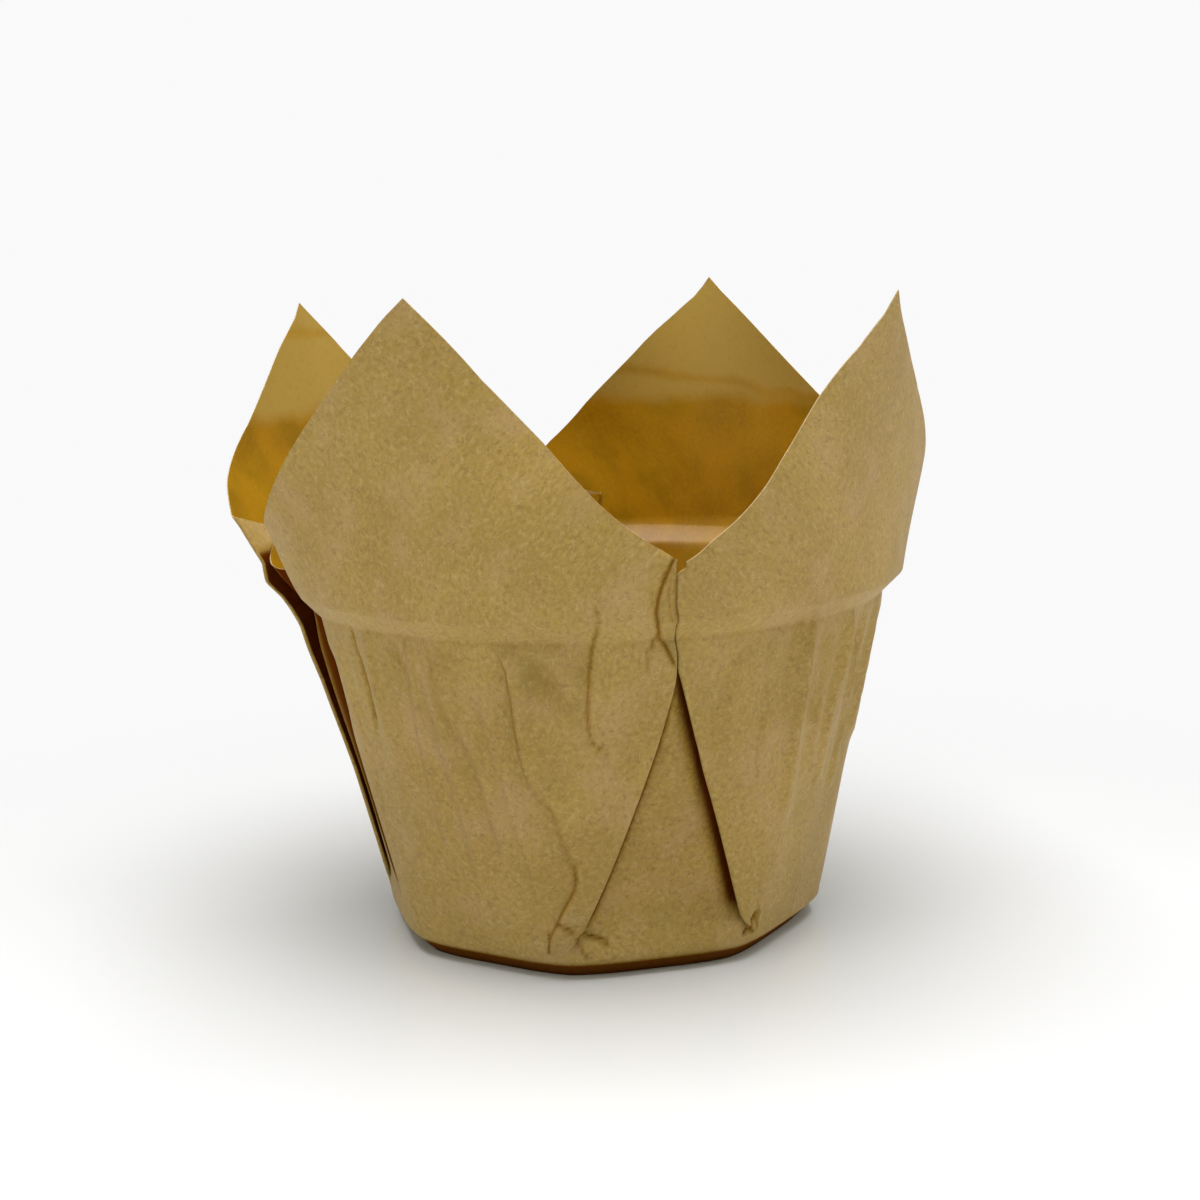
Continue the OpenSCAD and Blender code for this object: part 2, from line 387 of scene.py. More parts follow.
@dataclass
class Liner:
    """The folded sheet. Sizes are millimetres, and the cup rests on z = 0.

    Once lay_out has run, pleat_no, pleat_dir, side, zone and place tell of each column
    which half pleat it belongs to and where it stands there.
    """

    sheet_side: float = SHEET_SIDE
    paper_t: float = 0.12
    crimp_share: float = 0.27
    crimp_above: float = 0.3
    crimp_fade: float = 20.0
    apex_h: float = 35.4
    layer_pitch: float = 0.36
    seam_gap: float = 0.08
    fold_min: float = 0.5
    fold_rise: float = 4.0
    tuck_rise: float = 12.0
    rear_power: int = 3
    tuck_power: int = 5
    wrinkle_rise: float = 0.7
    widen_share: float = 0.9
    widen_least: float = 1.5
    widen_limits: Pair = (-0.4, 0.6)
    die: Die = field(default_factory=Die)
    petals: PetalShape = field(default_factory=PetalShape)
    crimping: Crimping = field(default_factory=Crimping)
    shading: Shading = field(default_factory=Shading)
    pleats: tuple[BoxPleat, ...] = ()
    wrinkles: tuple[Wrinkle, ...] = ()
    fold_cols: tuple[int, int, int] = (3, 5, 4)
    fold_bias: float = 1.2
    row_counts: tuple[int, ...] = (4, 3, 64, 6)
    row_squeeze: tuple[float, ...] = (0, 0.3, 0.5, 0.3)
    petal_rows: int = 20
    cut_steps: int = 34
    cut_room: float = 2.0
    weld_gap: float = 0.0005
    smooth_to: float = 50.0

    def lay_out(self) -> None:
        """Sets the columns of the sheet, each pleat from its left petal to its right one."""
        table = []
        for k, pleat in enumerate(self.pleats):
            for side in (-1, 1):
                counts = (pleat.cols[0], *self.fold_cols, pleat.pick(pleat.cols[1:], side))
                half = []
                for zone, count in zip(Zone, counts):
                    bias = self.fold_bias if zone is Zone.PANEL else 1.0
                    half += [(k, side, zone.value, (i / count) ** bias) for i in range(count)]
                half.append((k, side, Zone.PANEL.value, 1.0))
                table += half[:0:-1] if side < 0 else half[:-1]
        cols = np.array([*table, table[0]], float)[:, :, None]
        self.pleat_no, self.zone = cols[:, 0].astype(int), cols[:, 2].astype(int)
        self.side, self.place = cols[:, 1], cols[:, 3]
        self.pleat_dir = np.array([p.side.value for p in self.pleats], float)[self.pleat_no]

    @property
    def s_tip(self) -> float:
        """Distance along the paper from the centre to a petal's tip."""
        return self.sheet_side / math.sqrt(2)

    @property
    def petal_len(self) -> float:
        """Length of a petal above the ledge."""
        return self.s_tip - self.die.s_rim

    def crimp(self, s: Array) -> Array:
        """Paper held in the crimps for each unit of arc."""
        die = self.die
        below = smooth((s - die.s_crease) / (die.s_rim - die.s_crease))
        above = mix(1.0, self.crimp_above, smooth((s - die.s_rim) / self.crimp_fade))
        return 1 + self.crimp_share * np.where(s < die.s_rim, below, above)

    def pressed(self, s: Array, direction: Array) -> tuple[Array, Array, Array]:
        """The pressed surface, before the layers of the pleats part.

        Args:
            s: Distance along the paper from the sheet's centre.
            direction: Directions in degrees.

        Returns:
            Radius, height, and arc from the petal's middle.
        """
        die, petals = self.die, self.petals
        off = np.abs(direction - EIGHTH - QUARTER * np.round((direction - EIGHTH) / QUARTER))
        shape = die.octagon(direction)
        lean = around(petals.leans, direction, 0, EIGHTH)
        turn = around(petals.curls, direction, 0, EIGHTH)
        turn = np.where(np.abs(turn) < petals.curl_least, petals.curl_least, turn)
        rate = turn / self.petal_len
        u = np.maximum(s - die.s_rim, 0)
        now = np.radians(lean - rate * u)
        start = np.radians(lean)
        line_r = die.rim_r + (np.cos(now) - np.cos(start)) / np.radians(rate)
        line_z = die.rim_z + (np.sin(start) - np.sin(now)) / np.radians(rate)
        flat = around(petals.flats, direction, EIGHTH, QUARTER)
        bend = (1 - flat * smooth(u / petals.flat_rise)) / line_r
        back = line_r - 1 / bend
        rad = np.radians(off)
        petal_r = back * np.cos(rad) + np.sqrt(1 / bend**2 - (back * np.sin(rad)) ** 2)
        petal_arc = np.arcsin(np.clip(petal_r * np.sin(rad) * bend, -1, 1)) / bend
        t1 = (s - die.s_contact) / (die.s_crease - die.s_contact)
        t2 = (s - die.s_crease) / (die.s_wall - die.s_crease)
        t3 = (s - die.s_wall) / (die.s_rim - die.s_wall)
        chamfer_r = mix(die.contact_r, die.base_r, t1) * shape
        wall_r = mix(die.base_r * shape, die.wall_r, t2)
        ledge_r = mix(die.wall_r, die.rim_r, t3)
        where = [s <= die.s_contact, s <= die.s_crease, s <= die.s_wall, s <= die.s_rim]
        bands = [s * shape, chamfer_r, wall_r + die.flute(t2, direction), ledge_r]
        r = np.select(where, bands, petal_r)
        wall_z, ledge_z = mix(die.crease_z, die.wall_h, t2), mix(die.wall_h, die.rim_z, t3)
        z = np.select(where, [0 * s, die.crease_z * t1, wall_z, ledge_z], line_z)
        arc = np.select(where, [s * rad, chamfer_r * rad, wall_r * rad, ledge_r * rad], petal_arc)
        return r, z, arc

    def half_gap(self, s: Array, side: Array) -> Array:
        """Half of the gap between a pleat's two folds, on one side."""
        die = self.die
        apex_t = (self.apex_h - die.crease_z) / (die.wall_h - die.crease_z)
        s_apex = mix(die.s_crease, die.s_wall, apex_t)
        open_t = np.clip((s_apex - s) / (s_apex - die.s_crease), 0, 1)
        gap = np.zeros(s.shape)
        for k, p in enumerate(self.pleats):
            shift = np.interp(s, *np.array(p.seam_shift).T)
            for sign in (-1, 1):
                foot = p.pick(p.feet, sign)
                one = np.maximum(self.seam_gap, foot * open_t ** p.pick(p.bows, sign))
                one = np.where(s < die.s_crease, foot * s / die.s_crease, one + sign * shift)
                gap = np.where((self.pleat_no == k) & (side == sign), one, gap)
        return gap

    def fold(self, s: Array) -> dict[str, Array]:
        """Places the columns on the folded layers.

        Args:
            s: Distance along the paper, one or more values for each column.

        Returns:
            The flat arc, the offset along the wall, how many layers deep, the share of
            the panel, and the wall's radius.
        """
        zone, t = self.zone, self.place
        near = np.minimum(1, s / self.die.s_contact)
        rho = self.layer_pitch / 2 * near
        gap = self.half_gap(s, self.side)
        wall = np.maximum(self.pressed(s, self.pleat_dir + 0 * s)[0], TINY)
        edge_dir = np.degrees((gap + rho) / wall)
        panel_arc = self.crimp(s) * self.pressed(s, self.pleat_dir + self.side * edge_dir)[2]
        spare = (HALF_PLEAT * s - panel_arc - gap + 3 * rho - 2 * math.pi * rho) / 2
        deep = np.maximum(spare, self.fold_min * near)
        flat_end = gap + deep - rho
        turn_len = math.pi * rho
        back_len = deep - 2 * rho
        fold_end = flat_end + 2 * turn_len + back_len
        zones = [zone == z.value for z in Zone]
        phi = t * math.pi
        first, last = flat_end + turn_len, flat_end + turn_len + back_len
        panel = mix(fold_end, HALF_PLEAT * s, t)
        flat_t = flat_end * t
        arcs = [flat_t, flat_end + rho * phi, first + back_len * t, last + rho * phi, panel]
        arc = np.select(zones, arcs)
        fold_x, edge_x = flat_end + rho * np.sin(phi), gap + rho - rho * np.sin(phi)
        panel_x = wall * np.radians(mix(edge_dir, EIGHTH, t))
        x = np.select(zones, [flat_t, fold_x, mix(flat_end, gap + rho, t), edge_x, panel_x])
        turned = (1 - np.cos(phi)) / 2
        sunk = np.select(zones, [v + 0 * s for v in (2, 2 - turned, 1, 1 - turned, 0)])
        share = np.where(zone == Zone.PANEL.value, t, 0.0) + 0 * s
        return {"arc": arc, "x": x, "sunk": sunk, "share": share, "wall": wall}

    def cut(self) -> Array:
        """Distance along the paper at which each column meets the sheet's cut edge."""
        low = np.full(self.side.shape, self.die.s_contact)
        high = np.full(self.side.shape, self.s_tip + self.cut_room)
        for _ in range(self.cut_steps):
            middle = (low + high) / 2
            inside = middle * np.cos(self.fold(middle)["arc"] / middle) < self.sheet_side / 2
            low, high = np.where(inside, middle, low), np.where(inside, high, middle)
        return (low + high) / 2

    def rows(self, top: Array) -> Array:
        """Distances along the paper of every row, one line for each column.

        Rows stand closer near the creases of the base and the ledge.
        """
        die = self.die
        ends = (0, die.s_contact, die.s_crease, die.s_wall, die.s_rim)
        bands = []
        for low, high, count, squeeze in zip(ends, ends[1:], self.row_counts, self.row_squeeze):
            t = np.linspace(0, 1, count, endpoint=False)
            t = t - squeeze * np.sin(2 * math.pi * t) / (2 * math.pi)
            bands.append(mix(low, high, t))
        fixed = np.concatenate(bands)
        share = np.linspace(0, 1, self.petal_rows + 1)
        upper = mix(die.s_rim, top, share)
        return np.concatenate([np.tile(fixed, (len(top), 1)), upper], axis=1)

    def spring(self, s: Array, folded: dict[str, Array]) -> Array:
        """How far the left pleat's rear flap springs out, or its front folds tuck in."""
        kept = 1 - folded["share"]
        reach = np.where(self.zone == Zone.CENTRE.value, self.place, 1.0)
        rise = smooth((s - self.die.s_wall) / self.tuck_rise) * reach
        total = np.zeros(s.shape)
        for k, p in enumerate(self.pleats):
            lift = np.interp(s, *np.array(p.rear_lift).T) * kept**self.rear_power
            tuck = p.front_tuck * rise * kept**self.tuck_power
            here = self.pleat_no == k
            rear = here & (self.side < 0) & (self.zone >= Zone.OUTER_TURN.value)
            front = here & (self.side > 0)
            total = total + np.where(rear, lift, 0.0) - np.where(front, tuck, 0.0)
        return total

    def wrinkled(self, direction: Array, z: Array, s: Array) -> tuple[Array, Array]:
        """Outward offset, and the painted shade of the creases, of all wrinkles at the sheet's points."""
        reach_r = (self.die.base_r + self.die.wall_r) / 2
        around_deg = wrap(direction)
        x = np.radians(around_deg) * reach_r
        layers = {
            Layer.ALL: self.zone >= 0,
            Layer.FLAP: self.zone >= Zone.OUTER_TURN.value,
            Layer.CENTRE: self.zone <= Zone.INNER_TURN.value,
        }
        total = self.crimping.level(around_deg, z, reach_r)
        dark = np.zeros(s.shape)
        for wrinkle in self.wrinkles:
            level, line = wrinkle.level(x, z, reach_r)
            here = layers[wrinkle.layer]
            if wrinkle.half:
                k = [p.side for p in self.pleats].index(wrinkle.half[0])
                here = here & (self.pleat_no == k) & (self.side == wrinkle.half[1])
            total = total + np.where(here, level, 0.0)
            dark = np.maximum(dark, np.where(here, line, 0.0))
        standing = smooth((s - self.die.s_crease) / self.wrinkle_rise)
        return total * standing, dark

    def widened(self, direction: Array, s: Array) -> Array:
        """Directions after each half petal has grown wider or narrower than its even fold."""
        flat_half = s * (HALF_PLEAT - np.arccos(np.clip(self.sheet_side / 2 / s, -1, 1)))
        total = direction
        for k, p in enumerate(self.pleats):
            for sign in (-1, 1):
                room = np.maximum(self.widen_share * flat_half, self.widen_least)
                more = np.interp(s, *np.array(p.pick(p.widens, sign)).T) / room
                axis = p.side.value + sign * EIGHTH
                grown = axis + (direction - axis) * (1 + np.clip(more, *self.widen_limits))
                total = np.where((self.pleat_no == k) & (self.side == sign), grown, total)
        return total

    def shade(self, s: Array, folded: dict[str, Array]) -> Array:
        """Painted shade, 0 to 1: how deep each point lies in the pleats' gaps or under the base's crease.
        """
        die, dark = self.die, self.shading
        zone = self.zone
        across = self.side * folded["x"]
        total = np.zeros(s.shape)
        for k, p in enumerate(self.pleats):
            deepest = np.full(s.shape, dark.centre)
            for sign in (-1, 1):
                away = np.maximum(self.half_gap(s, sign + 0 * self.side) - sign * across, 0)
                wide = np.exp(-((away / p.pick(p.shade_reach, sign)) ** p.shade_power))
                line = np.exp(-away / dark.fold_line)
                deepest = np.maximum(deepest, mix(line, wide, p.shade_peak))
            total = np.where(self.pleat_no == k, deepest, total)
        total = np.where(zone == Zone.OUTER_TURN.value, smooth(1 - 2 * self.place), total)
        hidden = (zone > Zone.CENTRE.value) & (zone < Zone.PANEL.value)
        end, fade = dark.hidden_top
        total = total * np.where(hidden, smooth((die.s_rim + end - s) / fade), 1.0)
        start, fade = dark.foot
        total = total * smooth((s - die.s_crease - start) / fade)
        total = np.where(zone == Zone.PANEL.value, 0.0, total)
        total = np.maximum(total, self.ledge_line(s, across / folded["wall"]))
        # Painted shade on the underside's rim, under the base's crease.
        end, fade = dark.under_top
        foot = smooth((s - die.s_contact) / dark.under_foot + 1)
        return np.maximum(total, dark.under * smooth((die.s_crease - end - s) / fade) * foot)

    def ledge_line(self, s: Array, off: Array) -> Array:
        """The thin patchy painted shade under the ledge, at angles counted from each pleat's middle."""
        dark = self.shading
        turn = np.radians(self.pleat_dir) + off
        patchy = sum(np.sin(n * turn + lag) for n, lag in dark.ledge_waves) / len(dark.ledge_waves)
        level = s - self.die.s_wall + dark.ledge_low + dark.ledge_wander * patchy
        least, gain = dark.ledge_patches
        return dark.ledge * smooth(least + gain * patchy) * np.exp(-((level / dark.ledge_h) ** 2))

    def press(self) -> tuple[Array, Array, Array]:
        """Folds the flat sheet into the cup.

        Returns:
            The points of the sheet's middle layer, in millimetres, by column and row, their
            places on the flat sheet, and their painted shade.
        """
        die = self.die
        s = self.rows(self.cut())
        safe = np.maximum(s, TINY)
        folded = self.fold(safe)
        w = smooth((safe - die.s_crease) / self.fold_rise)
        off = np.degrees(mix(folded["arc"] / safe, folded["x"] / folded["wall"], w))
        direction = self.widened(self.pleat_dir + self.side * off, safe)
        r, z, _ = self.pressed(safe, direction)
        level, dark = self.wrinkled(direction, z, safe)
        r = r - folded["sunk"] * self.layer_pitch * w + self.spring(safe, folded) + level
        shift_x, shift_y = self.petals.sway(direction)
        grow = (np.maximum(0, s - die.s_rim) / self.petal_len) ** self.petals.sway_power
        rad = np.radians(direction)
        x, y = r * np.sin(rad) + shift_x * grow, -r * np.cos(rad) + shift_y * grow
        points = np.stack([x, y, z + self.paper_t / 2], -1)
        turned = np.radians(self.pleat_dir) + self.side * folded["arc"] / safe
        flat = np.stack([s * np.sin(turned), -s * np.cos(turned)], -1) / self.sheet_side + 0.5
        points[:, 0] = (0.0, 0.0, self.paper_t / 2)
        return points, flat, np.maximum(dark, self.shade(safe, folded))

    def build(self) -> bpy.types.Object:
        """Makes the piece: a grid, folded, closed at its seam, and thickened.

        Returns:
            The finished piece, with its UV map of the flat sheet.
        """
        self.lay_out()
        points, flat, shade = self.press()
        cols, rows = points.shape[:2]
        bpy.ops.object.select_all(action="DESELECT")
        bpy.ops.mesh.primitive_grid_add(
            x_subdivisions=cols - 1, y_subdivisions=rows - 1, size=2, location=(0, 0, 0)
        )
        piece = bpy.context.active_object
        mesh = piece.data
        piece.name = mesh.name = "paper_cup"
        co = np.zeros(len(mesh.vertices) * 3)
        mesh.vertices.foreach_get("co", co)
        co = co.reshape(-1, 3)
        col = np.rint((co[:, 0] + 1) / 2 * (cols - 1)).astype(int)
        row = np.rint((co[:, 1] + 1) / 2 * (rows - 1)).astype(int)
        mesh.vertices.foreach_set("co", (points[col, row] * MM).ravel())
        self.lay_uv(mesh, flat[col, row])
        # The painted shade of gaps, creases, the ledge's line and the underside's rim, read by the
        # materials.
        mesh.attributes.new("shade", "FLOAT", "POINT").data.foreach_set("value", shade[col, row])
        self.close(piece)
        return piece

    @staticmethod
    def lay_uv(mesh: bpy.types.Mesh, flat: Array) -> None:
        """Gives the mesh one UV map, the place of each point on the flat sheet."""
        while mesh.uv_layers:
            mesh.uv_layers.remove(mesh.uv_layers[0])
        layer = mesh.uv_layers.new(name="sheet")
        corner = np.zeros(len(mesh.loops), int)
        mesh.loops.foreach_get("vertex_index", corner)
        layer.data.foreach_set("uv", flat[corner].ravel())

    def close(self, piece: bpy.types.Object) -> None:
        """Joins the seam and the centre, turns the faces outward and gives the paper its thickness."""
        bpy.ops.object.mode_set(mode="EDIT")
        bpy.ops.mesh.select_all(action="SELECT")
        bpy.ops.mesh.remove_doubles(threshold=self.weld_gap * MM)
        bpy.ops.mesh.normals_make_consistent(inside=False)
        bpy.ops.object.mode_set(mode="OBJECT")
        self.face_outward(piece)
        bpy.ops.object.shade_smooth()
        wall = piece.modifiers.new("thickness", "SOLIDIFY")
        wall.thickness = self.paper_t * MM
        wall.offset = 0.0
        wall.use_even_offset = False
        wall.use_rim = True
        wall.material_offset = 1
        wall.material_offset_rim = 2
        for finish in (KraftFace(), GlazedFace(), CutEdge()):
            piece.data.materials.append(finish.material())
        bpy.ops.object.modifier_apply(modifier=wall.name)
        bpy.ops.object.shade_smooth_by_angle(angle=math.radians(self.smooth_to))

    @staticmethod
    def face_outward(piece: bpy.types.Object) -> None:
        """Turns all faces over if the base looks up."""
        mesh = piece.data
        low = min(mesh.polygons, key=lambda face: face.center.length)
        if low.normal.z > 0:
            mesh.flip_normals()


class Graph:
    """A node tree being built, with short ways to add nodes and wires."""

    COLOURS_IN = (6, 7)
    COLOUR_OUT = 2

    def __init__(self, tree: bpy.types.NodeTree) -> None:
        """Starts on an empty tree."""
        self.tree = tree
        self.tree.nodes.clear()

    def add(self, kind: str, **settings: object) -> bpy.types.Node:
        """Adds a node and sets its properties."""
        node = self.tree.nodes.new(kind)
        for key, value in settings.items():
            setattr(node, key, value)
        return node

    def put(self, node: bpy.types.Node, **values: object) -> bpy.types.Node:
        """Sets inputs by name: a socket is wired and anything else is a value."""
        for key, value in values.items():
            self.feed(node.inputs[key.replace("_", " ")], value)
        return node

    def feed(self, socket: Socket, value: object) -> None:
        """Wires a socket, or sets its value."""
        if isinstance(value, Socket):
            self.tree.links.new(value, socket)
        else:
            socket.default_value = value

    def noise(self, point: Socket, size: float, detail: float, twist: float = 0.0) -> Socket:
        """Noise between 0 and 1 at a point, in patches of about one size."""
        node = self.add("ShaderNodeTexNoise")
        self.put(node, Vector=point, Scale=1 / size, Detail=detail, Distortion=twist)
        return node.outputs["Fac"]

    def ramp(self, value: Socket, low: float, high: float, to: Pair = (0, 1)) -> Socket:
        """Soft change from one value to another between two levels."""
        node = self.add("ShaderNodeMapRange", interpolation_type="SMOOTHSTEP")
        self.put(node, Value=value, From_Min=low, From_Max=high, To_Min=to[0], To_Max=to[1])
        return node.outputs["Result"]

    def math(self, kind: str, a: object, b: object = 0.0) -> Socket:
        """Arithmetic on two values."""
        node = self.add("ShaderNodeMath", operation=kind)
        for socket, value in zip(node.inputs, (a, b)):
            self.feed(socket, value)
        return node.outputs[0]

    def blend(self, share: object, a: object, b: object, kind: str = "MIX") -> Socket:
        """Colour between two colours, or between a colour and its product with another."""
        node = self.add("ShaderNodeMix", data_type="RGBA", blend_type=kind)
        self.feed(node.inputs["Factor"], share)
        for k, colour in zip(self.COLOURS_IN, (a, b)):
            self.feed(node.inputs[k], (*colour, 1.0) if isinstance(colour, tuple) else colour)
        return node.outputs[self.COLOUR_OUT]

    def shift(
        self, point: Socket, by: Triple = (0, 0, 0), turn: float = 0.0, scale: float = 1.0
    ) -> Socket:
        """A point moved, turned about Z and scaled."""
        node = self.add("ShaderNodeMapping")
        turned = (0, 0, math.radians(turn))
        self.put(node, Vector=point, Location=by, Rotation=turned, Scale=(scale,) * 3)
        return node.outputs["Vector"]

    def place(self) -> Socket:
        """The point in the object's own coordinates."""
        return self.add("ShaderNodeTexCoord").outputs["Object"]

    def axes(self) -> Outputs:
        """The point's X, Y and Z in the object's own coordinates."""
        return self.put(self.add("ShaderNodeSeparateXYZ"), Vector=self.place()).outputs


@dataclass(frozen=True)
class Fibres:
    """Fibres, flecks and cloudiness of brown paper. Sizes are millimetres.

    Each kind of hair is drawn twice, and a move and a turn tell its drawings apart.
    """

    cloud: float = 14.0
    cloud_detail: float = 4.0
    mottle: float = 7.0
    mottle_levels: Pair = (0.45, 0.72)
    mottle_moves: tuple[Triple, Triple] = ((210, 90, 0), (30, 340, 0))
    grain: float = 0.55
    grain_detail: float = 3.0
    levels: Pair = (0.3, 0.7)
    hair: float = 1.1
    hair_detail: float = 1.5
    hair_twist: float = 0.6
    hair_w: float = 0.035
    hair_slant: float = 0.7
    hair_moves: tuple[Points, Points] = (((0, 0), (37, 61)), ((71, 17), (113, 48)))
    patch: float = 0.9
    patch_levels: Pair = (0.5, 0.58)
    heights: Triple = (0.55, 0.5, 0.35)

    def group(self) -> bpy.types.NodeTree:
        """The node group, built once. Its point is a place on the flat sheet."""
        name = "paper_fibres"
        if name in bpy.data.node_groups:
            return bpy.data.node_groups[name]
        g = Graph(bpy.data.node_groups.new(name, "ShaderNodeTree"))
        g.tree.interface.new_socket(name="Sheet", in_out="INPUT", socket_type="NodeSocketVector")
        for label in ("Clouds", "Olive", "Blush", "Grain", "Dark Hairs", "Pale Hairs", "Height"):
            g.tree.interface.new_socket(name=label, in_out="OUTPUT", socket_type="NodeSocketFloat")
        place = g.shift(g.add("NodeGroupInput").outputs["Sheet"], scale=SHEET_SIDE)
        clouds = g.ramp(g.noise(place, self.cloud, self.cloud_detail), *self.levels)
        olive, blush = (
            g.ramp(g.noise(g.shift(place, by=move), self.mottle, self.grain_detail), *self.mottle_levels)
            for move in self.mottle_moves
        )
        grain = g.ramp(g.noise(place, self.grain, self.grain_detail), *self.levels)
        dark, pale = (
            g.math("MAXIMUM", *(self.hairs(g, place, move, turn) for move, turn in pair))
            for pair in self.hair_moves
        )
        parts = [g.math("MULTIPLY", v, share) for v, share in zip((grain, pale, dark), self.heights)]
        height = g.math("SUBTRACT", g.math("ADD", parts[0], parts[1]), parts[2])
        out = g.add("NodeGroupOutput")
        g.put(out, Clouds=clouds, Olive=olive, Blush=blush, Grain=grain)
        g.put(out, Dark_Hairs=dark, Pale_Hairs=pale, Height=height)
        return g.tree

    def hairs(self, g: Graph, place: Socket, move: float, turn: float) -> Socket:
        """Short curved hairs: thin level lines of a noise, kept only in patches."""
        moved = g.shift(place, by=(move, move * self.hair_slant, 0), turn=turn)
        level = g.noise(moved, self.hair, self.hair_detail, self.hair_twist)
        away = g.math("ABSOLUTE", g.math("SUBTRACT", level, 0.5))
        line = g.ramp(away, 0.0, self.hair_w, (1, 0))
        return g.math("MULTIPLY", line, g.ramp(g.noise(moved, self.patch, 0.0), *self.patch_levels))


@dataclass(frozen=True)
class Spots:
    """One kind of spots that the fibres put out, how strong they are, and their colour."""

    kind: str
    share: float
    colour: Colour


@dataclass(frozen=True)
class Face:
    """One side of the paper: its colours, gloss and tooth.

    The mesh's painted shade darkens the colour first, and from gap_from up it turns to the
    colour painted for deep shade. The gloss and sheen fade with the painted shade and are
    gone where it passes a set level.
    """

    name: str
    deep: Colour
    light: Colour
    mottles: tuple[Spots, ...]
    hairs: tuple[Spots, ...]
    roughness: Pair
    specular: float
    tooth: float
    bounce: Colour
    sheen: float = 0.0
    grain_share: float = 0.6
    bump_depth: float = 0.03
    shade_share: float = 1.0
    # Painted shade: the tint that the mesh's shade multiplies in, and the dark red-brown of deep shade.
    painted_shade_tint: Colour = (0.5, 0.36, 0.14)
    painted_deep_shade: Colour = (0.3, 0.17, 0.06)
    gap_from: float = 0.45
    gloss_gone_at: float = 0.5

    def material(self) -> bpy.types.Material:
        """The face's material."""
        made = bpy.data.materials.new(self.name)
        made.use_nodes = True
        g = Graph(made.node_tree)
        fibres = g.add("ShaderNodeGroup", node_tree=Fibres().group())
        g.put(fibres, Sheet=g.add("ShaderNodeUVMap", uv_map="sheet").outputs["UV"])
        out = fibres.outputs
        clouds = g.math("MULTIPLY", out["Clouds"], 1 - self.grain_share)
        tone = g.math("ADD", clouds, g.math("MULTIPLY", out["Grain"], self.grain_share))
        colour = self.spotted(g, g.blend(tone, self.deep, self.light), out, self.mottles)
        colour = self.spotted(g, self.painted_light(g, colour, out), out, self.hairs)
        # Painted shade from the mesh: darker in creases and gaps, dark red-brown where deepest.
        depth = g.add("ShaderNodeAttribute", attribute_name="shade").outputs["Fac"]
        depth = g.math("MULTIPLY", depth, self.shade_share)
        colour = g.blend(depth, colour, self.painted_shade_tint, "MULTIPLY")
        colour = g.blend(g.ramp(depth, self.gap_from, 1.0), colour, self.painted_deep_shade)
        path = g.add("ShaderNodeLightPath").outputs
        colour = g.blend(path["Is Diffuse Ray"], colour, self.bounce)
        bump = g.add("ShaderNodeBump")
        g.put(bump, Height=out["Height"], Strength=self.tooth, Distance=self.bump_depth * MM)
        skin = g.add("ShaderNodeBsdfPrincipled")
        rough = g.ramp(out["Grain"], 0, 1, self.roughness)
        g.put(skin, Base_Color=colour, Roughness=rough, Normal=bump.outputs["Normal"])
        # The gloss and sheen fade out under the painted shade.
        clear = g.ramp(depth, 0.0, self.gloss_gone_at, (1, 0))
        g.put(skin, Specular_IOR_Level=g.math("MULTIPLY", self.gloss(g), clear))
        g.put(skin, Sheen_Weight=g.math("MULTIPLY", self.sheen, clear))
        g.put(g.add("ShaderNodeOutputMaterial"), Surface=skin.outputs["BSDF"])
        return made

    @staticmethod
    def spotted(g: Graph, colour: Socket, out: Outputs, kinds: tuple[Spots, ...]) -> Socket:
        """The colour with kinds of spots laid over it, one after the other."""
        for spots in kinds:
            colour = g.blend(g.math("MULTIPLY", out[spots.kind], spots.share), colour, spots.colour)
        return colour

    def painted_light(self, g: Graph, colour: Socket, out: Outputs) -> Socket:
        """Light painted on one face alone. None here."""
        return colour

    def gloss(self, g: Graph) -> Socket | float:
        """Strength of the face's reflections. Even here."""
        return self.specular


@dataclass(frozen=True)
class KraftFace(Face):
    """The uncoated outside of the paper."""

    name: str = "kraft_outside"
    deep: Colour = (0.33, 0.206, 0.04)
    light: Colour = (0.48, 0.318, 0.078)
    mottles: tuple[Spots, ...] = (
        Spots("Olive", 0.35, (0.35, 0.24, 0.05)),
        Spots("Blush", 0.55, (0.48, 0.31, 0.125)),
    )
    hairs: tuple[Spots, ...] = (
        Spots("Dark Hairs", 0.55, (0.24, 0.15, 0.035)),
        Spots("Pale Hairs", 0.4, (0.55, 0.41, 0.17)),
    )
    roughness: Pair = (0.6, 0.75)
    specular: float = 0.3
    tooth: float = 0.6
    bounce: Colour = (0.38, 0.32, 0.13)
    sheen: float = 0.08
    # Painted deep shade: the dark red-brown of the gaps and under the base's crease.
    painted_deep_shade: Colour = (0.09, 0.017, 0.001)


